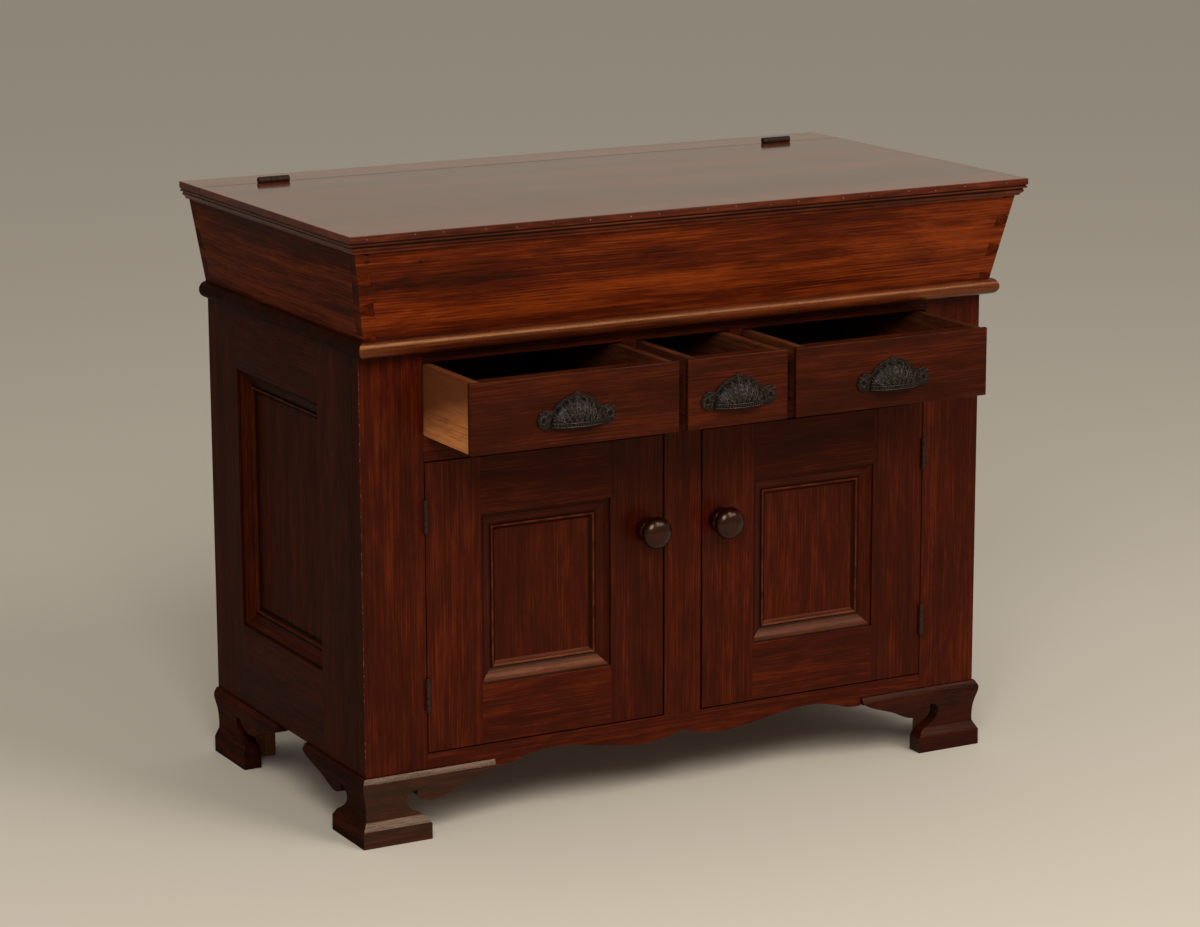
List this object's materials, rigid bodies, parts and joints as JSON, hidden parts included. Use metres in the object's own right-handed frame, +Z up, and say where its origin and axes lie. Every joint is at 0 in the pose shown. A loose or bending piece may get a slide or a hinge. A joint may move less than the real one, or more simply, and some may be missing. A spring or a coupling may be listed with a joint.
{
  "type": "dry sink cabinet",
  "caption": "Low cupboard with framed doors, lipped drawers and a canted well under a hinged lid, standing on scrolled bracket feet.",
  "frame": {"origin": "on the floor, under the middle of the space that the cabinet takes with its drawers part way out", "axes": "+X to the right as seen from the front, +Y to the back, +Z up"},
  "size_m": [1.12, 0.7226, 0.906],
  "materials": {
    "case_wood": "old shellac, satin, dark red-brown",
    "side_wood": "old shellac, satin, dark brown",
    "well_wood": "shellac, semi-gloss, orange-brown with dark streaks",
    "lid_wood": "polished, glossy brown",
    "knob_wood": "turned, ebonised brown, polished",
    "pull_iron": "cast with ornament, dark bronze patina, worn on the ridges",
    "plain_wood": "bare secondary wood, aged tan",
    "hinge_iron": "dark iron, rubbed"
  },
  "bodies": {
    "case": {"back_board_left": "plain_wood", "back_board_right": "plain_wood", "back_rail": "lid_wood", "bottom_rail": "case_wood", "cabinet_floor": "plain_wood", "centre_stile": "case_wood", "divider_left": "case_wood", "divider_right": "case_wood", "door_left_lower_frame_leaf": "hinge_iron", "door_left_upper_frame_leaf": "hinge_iron", "door_right_lower_frame_leaf": "hinge_iron", "door_right_upper_frame_leaf": "hinge_iron", "dust_board": "plain_wood", "foot_back_left": "case_wood", "foot_back_right": "case_wood", "foot_front_left": "case_wood", "foot_front_right": "case_wood", "lid_hinge_left_rail_leaf": "hinge_iron", "lid_hinge_right_rail_leaf": "hinge_iron", "mid_rail": "case_wood", "shelf": "plain_wood", "side_left_frame": "side_wood", "side_left_moulding": "side_wood", "side_left_panel": "side_wood", "side_right_frame": "side_wood", "side_right_moulding": "side_wood", "side_right_panel": "side_wood", "stile_left": "case_wood", "stile_right": "case_wood", "top_rail": "case_wood", "well_back": "well_wood", "well_end_left": "well_wood", "well_end_right": "well_wood", "well_floor": "well_wood", "well_front": "well_wood"},
    "lid": {"lid_board": "lid_wood", "lid_hinge_left_lid_leaf": "hinge_iron", "lid_hinge_right_lid_leaf": "hinge_iron", "lid_moulding": "lid_wood"},
    "door_left": {"door_left_frame": "case_wood", "door_left_knob": "knob_wood", "door_left_lower_door_leaf": "hinge_iron", "door_left_moulding": "case_wood", "door_left_panel": "case_wood", "door_left_upper_door_leaf": "hinge_iron"},
    "door_right": {"door_right_frame": "case_wood", "door_right_knob": "knob_wood", "door_right_lower_door_leaf": "hinge_iron", "door_right_moulding": "case_wood", "door_right_panel": "case_wood", "door_right_upper_door_leaf": "hinge_iron"},
    "drawer_left": {"drawer_left_box": "plain_wood", "drawer_left_front": "case_wood", "drawer_left_pull": "pull_iron"},
    "drawer_centre": {"drawer_centre_box": "plain_wood", "drawer_centre_front": "case_wood", "drawer_centre_pull": "pull_iron"},
    "drawer_right": {"drawer_right_box": "plain_wood", "drawer_right_front": "case_wood", "drawer_right_pull": "pull_iron"}
  },
  "joints": [
    {"name": "lid_hinge", "type": "hinge", "parent": "case", "child": "lid", "pos_m": [0, 0.283, 0.901], "axis": [-1, 0, 0], "range_deg": [0, 105]},
    {"name": "door_left_hinge", "type": "hinge", "parent": "case", "child": "door_left", "pos_m": [-0.4214, -0.18675, 0.3], "axis": [0, 0, -1], "range_deg": [0, 170]},
    {"name": "door_right_hinge", "type": "hinge", "parent": "case", "child": "door_right", "pos_m": [0.4214, -0.18675, 0.3], "axis": [0, 0, 1], "range_deg": [0, 170]},
    {"name": "drawer_left_slide", "type": "slide", "parent": "case", "child": "drawer_left", "axis": [0, -1, 0], "range_m": [-0.1507, 0.21]},
    {"name": "drawer_centre_slide", "type": "slide", "parent": "case", "child": "drawer_centre", "axis": [0, -1, 0], "range_m": [-0.1507, 0.21]},
    {"name": "drawer_right_slide", "type": "slide", "parent": "case", "child": "drawer_right", "axis": [0, -1, 0], "range_m": [-0.1507, 0.21]}
  ]
}
